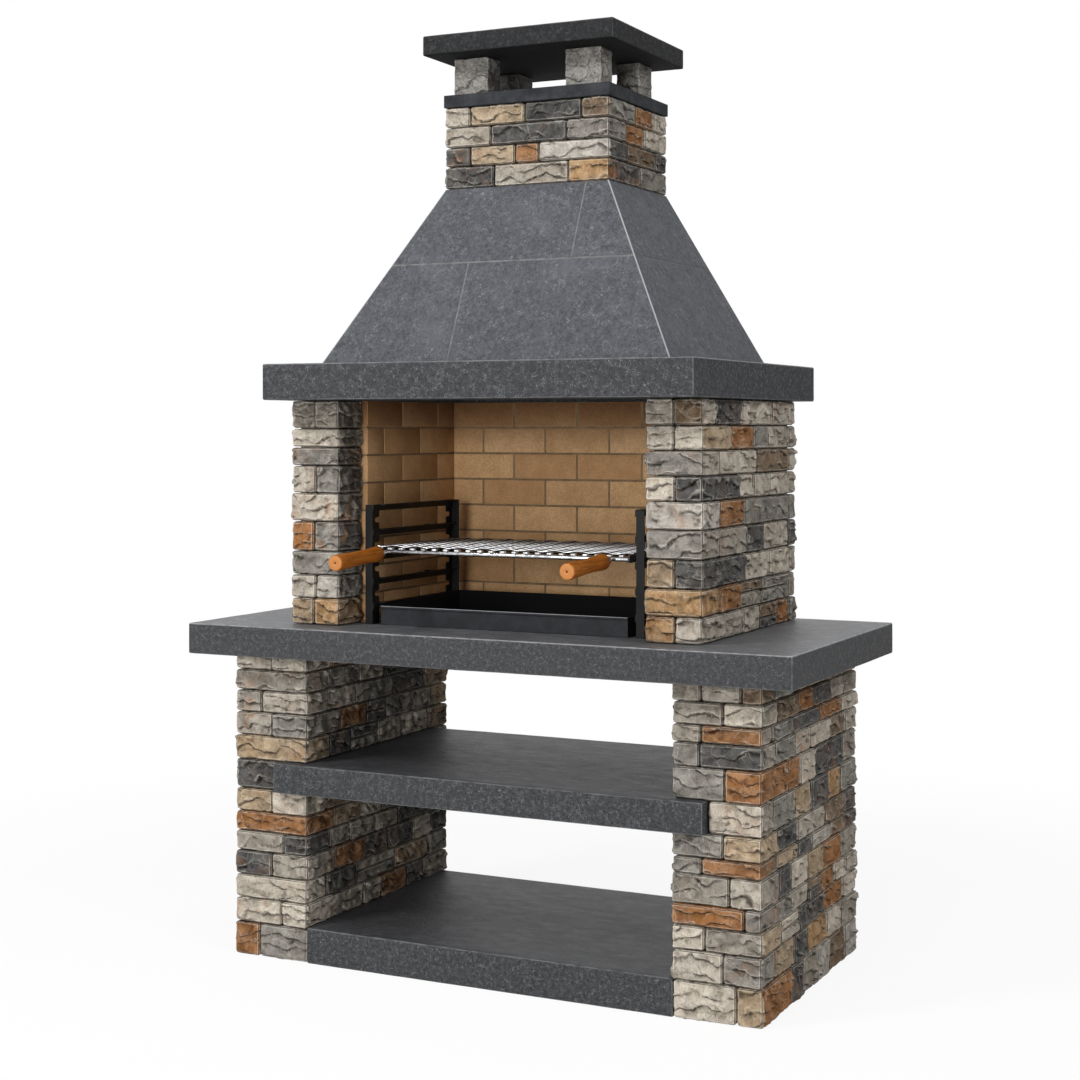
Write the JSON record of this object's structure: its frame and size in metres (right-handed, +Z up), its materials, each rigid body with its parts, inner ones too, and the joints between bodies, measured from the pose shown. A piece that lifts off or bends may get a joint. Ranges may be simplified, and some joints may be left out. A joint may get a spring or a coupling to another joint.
{
  "type": "masonry barbecue",
  "caption": "Free-standing masonry barbecue: stone piers carry slab shelves and a worktop, with a brick-lined firebox, racks, a sliding grill and tray, and a tiled hood and chimney.",
  "frame": {"origin": "on the ground, under the base slab, midway between the piers' faces and ends", "axes": "+X to the right as seen from the cook's side, +Y from the open front to the rear, +Z up"},
  "size_m": [1.556, 0.9215, 2.263],
  "materials": {
    "ledge_stone": "split-face stone in mixed greys, creams and rust browns",
    "wall_fill": "mortar and rubble",
    "slab_granite": "flamed charcoal granite with pale flecks",
    "rear_render": "floated cement render",
    "fire_brick": "matte buff fire brick",
    "brick_mortar": "raked fire mortar",
    "hood_cast": "cast concrete",
    "hood_slate": "riven blue-charcoal slate",
    "tile_grout": "pale cement grout",
    "post_granite": "rough light grey granite",
    "black_steel": "matte black heat-proof paint",
    "tray_steel": "matte black enamelled sheet",
    "grill_chrome": "chrome-plated wire",
    "grip_wood": "oiled turned wood"
  },
  "bodies": {
    "masonry": {"base_slab": "slab_granite", "cap_post_front_left": "post_granite", "cap_post_front_right": "post_granite", "cap_post_rear_left": "post_granite", "cap_post_rear_right": "post_granite", "cap_slab": "slab_granite", "chimney_collar": "slab_granite", "chimney_flue": "hood_cast", "chimney_stones": "ledge_stone", "hood_front_lower_left_tile": "hood_slate", "hood_front_lower_right_tile": "hood_slate", "hood_front_upper_left_tile": "hood_slate", "hood_front_upper_right_tile": "hood_slate", "hood_grout": "tile_grout", "hood_left_lower_tile": "hood_slate", "hood_left_upper_tile": "hood_slate", "hood_rear_lower_tile": "hood_slate", "hood_rear_upper_tile": "hood_slate", "hood_right_lower_tile": "hood_slate", "hood_right_upper_tile": "hood_slate", "hood_shell": "hood_cast", "left_jamb_fill": "wall_fill", "left_jamb_stones": "ledge_stone", "left_lining_bricks": "fire_brick", "left_lining_mortar": "brick_mortar", "left_pier_fill": "wall_fill", "left_pier_stones": "ledge_stone", "left_rack_bars": "black_steel", "left_rack_front_post": "black_steel", "left_rack_rear_post": "black_steel", "mantel_slab": "slab_granite", "middle_shelf": "slab_granite", "rack_wall_pins": "black_steel", "rear_lining_bricks": "fire_brick", "rear_lining_mortar": "brick_mortar", "rear_wall": "rear_render", "right_jamb_fill": "wall_fill", "right_jamb_stones": "ledge_stone", "right_lining_bricks": "fire_brick", "right_lining_mortar": "brick_mortar", "right_pier_fill": "wall_fill", "right_pier_stones": "ledge_stone", "right_rack_bars": "black_steel", "right_rack_front_post": "black_steel", "right_rack_rear_post": "black_steel", "worktop_slab": "slab_granite"},
    "grill": {"grill_cross_wires": "grill_chrome", "grill_front_rod": "grill_chrome", "grill_long_wires": "grill_chrome", "grill_rear_rod": "grill_chrome", "grill_side_bars": "grill_chrome", "left_handle_ferrule": "grill_chrome", "left_handle_fork": "grill_chrome", "left_handle_grip": "grip_wood", "right_handle_ferrule": "grill_chrome", "right_handle_fork": "grill_chrome", "right_handle_grip": "grip_wood"},
    "tray": {"charcoal_tray": "tray_steel"}
  },
  "joints": [
    {"name": "grill_slide", "type": "slide", "parent": "masonry", "child": "grill", "axis": [0, -1, 0], "range_m": [0, 0.38]},
    {"name": "tray_slide", "type": "slide", "parent": "masonry", "child": "tray", "axis": [0, -1, 0], "range_m": [0, 0.3]}
  ]
}
